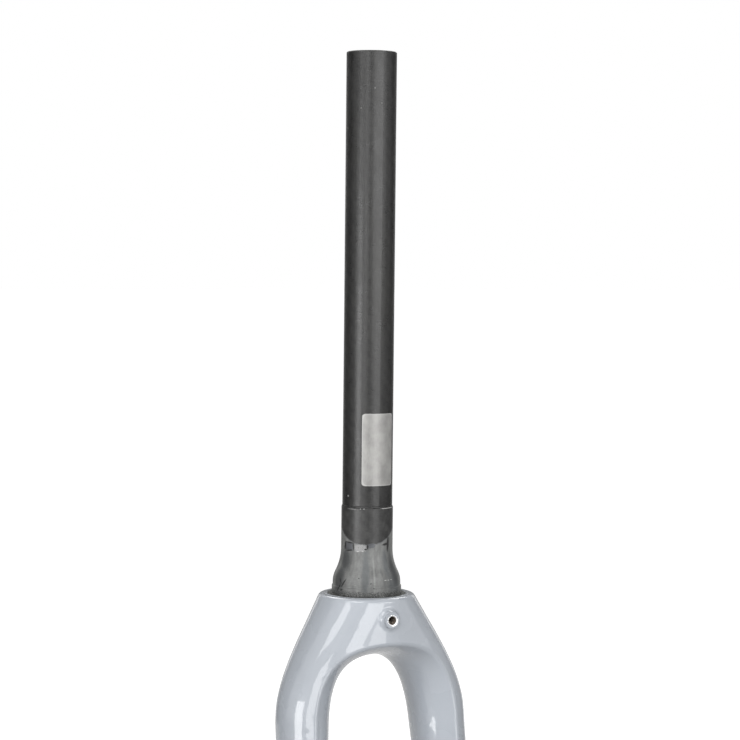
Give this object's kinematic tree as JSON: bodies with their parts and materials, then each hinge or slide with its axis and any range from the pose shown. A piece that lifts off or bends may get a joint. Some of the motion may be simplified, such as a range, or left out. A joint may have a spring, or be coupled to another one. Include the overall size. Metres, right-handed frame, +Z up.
{
  "type": "rigid bicycle fork",
  "caption": "Rigid bicycle fork with a long raw carbon steerer tube, a flared race seat, and a painted crown and leg moulding with axle ends.",
  "frame": {"origin": "on the steerer axis, in the crown shoulder that the lower bearing race seats on", "axes": "+Z up along the steerer, +X forward, +Y to the rider's left along the wheel axle"},
  "size_m": [0.0897, 0.1274, 0.7175],
  "materials": {
    "raw_carbon": "satin raw carbon",
    "paint": "gloss paint over carbon",
    "end_paint": "gloss paint over alloy",
    "alloy": "satin",
    "label": "silver film"
  },
  "bodies": {
    "root": {"steerer_tube": "raw_carbon", "fork_neck": "raw_carbon", "fork_moulding": "paint", "crown_insert": "alloy", "brake_insert_upper": "alloy", "brake_insert_lower": "alloy", "left_axle_end": "end_paint", "right_axle_end": "end_paint", "steerer_label": "label"}
  },
  "joints": []
}
